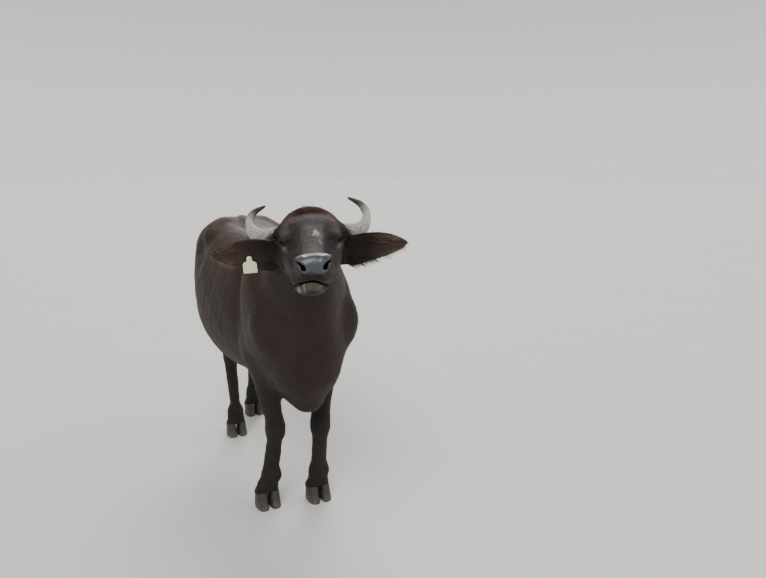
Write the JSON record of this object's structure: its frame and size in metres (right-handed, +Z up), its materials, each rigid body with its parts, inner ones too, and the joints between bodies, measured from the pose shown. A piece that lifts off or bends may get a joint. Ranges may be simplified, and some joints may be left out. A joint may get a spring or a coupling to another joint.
{
  "type": "water buffalo",
  "caption": "Still life-size model of a standing river-type water buffalo, head raised, jaw swung a little aside, plain tag in the right ear.",
  "frame": {"origin": "on the floor, below the middle of the model's box", "axes": "-Y the way the body faces, +X the animal's left, +Z up"},
  "size_m": [0.7288, 2.1024, 1.4763],
  "materials": {
    "hide": "short dark brown-black hair",
    "horn": "light grey horn, dark at the tips",
    "hoof": "worn dark horn",
    "eye": "wet and dark brown",
    "tag": "satin"
  },
  "bodies": {
    "root": {"torso": "hide", "neck": "hide", "head": "hide", "foreleg_left": "hide", "claw_foreleg_left_outer": "hoof", "dewclaw_foreleg_left_outer": "hoof", "claw_foreleg_left_inner": "hoof", "dewclaw_foreleg_left_inner": "hoof", "foreleg_right": "hide", "claw_foreleg_right_outer": "hoof", "dewclaw_foreleg_right_outer": "hoof", "claw_foreleg_right_inner": "hoof", "dewclaw_foreleg_right_inner": "hoof", "hindleg_left": "hide", "claw_hindleg_left_outer": "hoof", "dewclaw_hindleg_left_outer": "hoof", "claw_hindleg_left_inner": "hoof", "dewclaw_hindleg_left_inner": "hoof", "hindleg_right": "hide", "claw_hindleg_right_outer": "hoof", "dewclaw_hindleg_right_outer": "hoof", "claw_hindleg_right_inner": "hoof", "dewclaw_hindleg_right_inner": "hoof", "eye_left": "eye", "horn_left": "horn", "ear_left": "hide", "eye_right": "eye", "horn_right": "horn", "ear_right": "hide", "tag_plate_front": "tag", "tag_plate_back": "tag", "tag_stud": "tag", "tail": "hide", "tail_switch": "hide"}
  },
  "joints": []
}
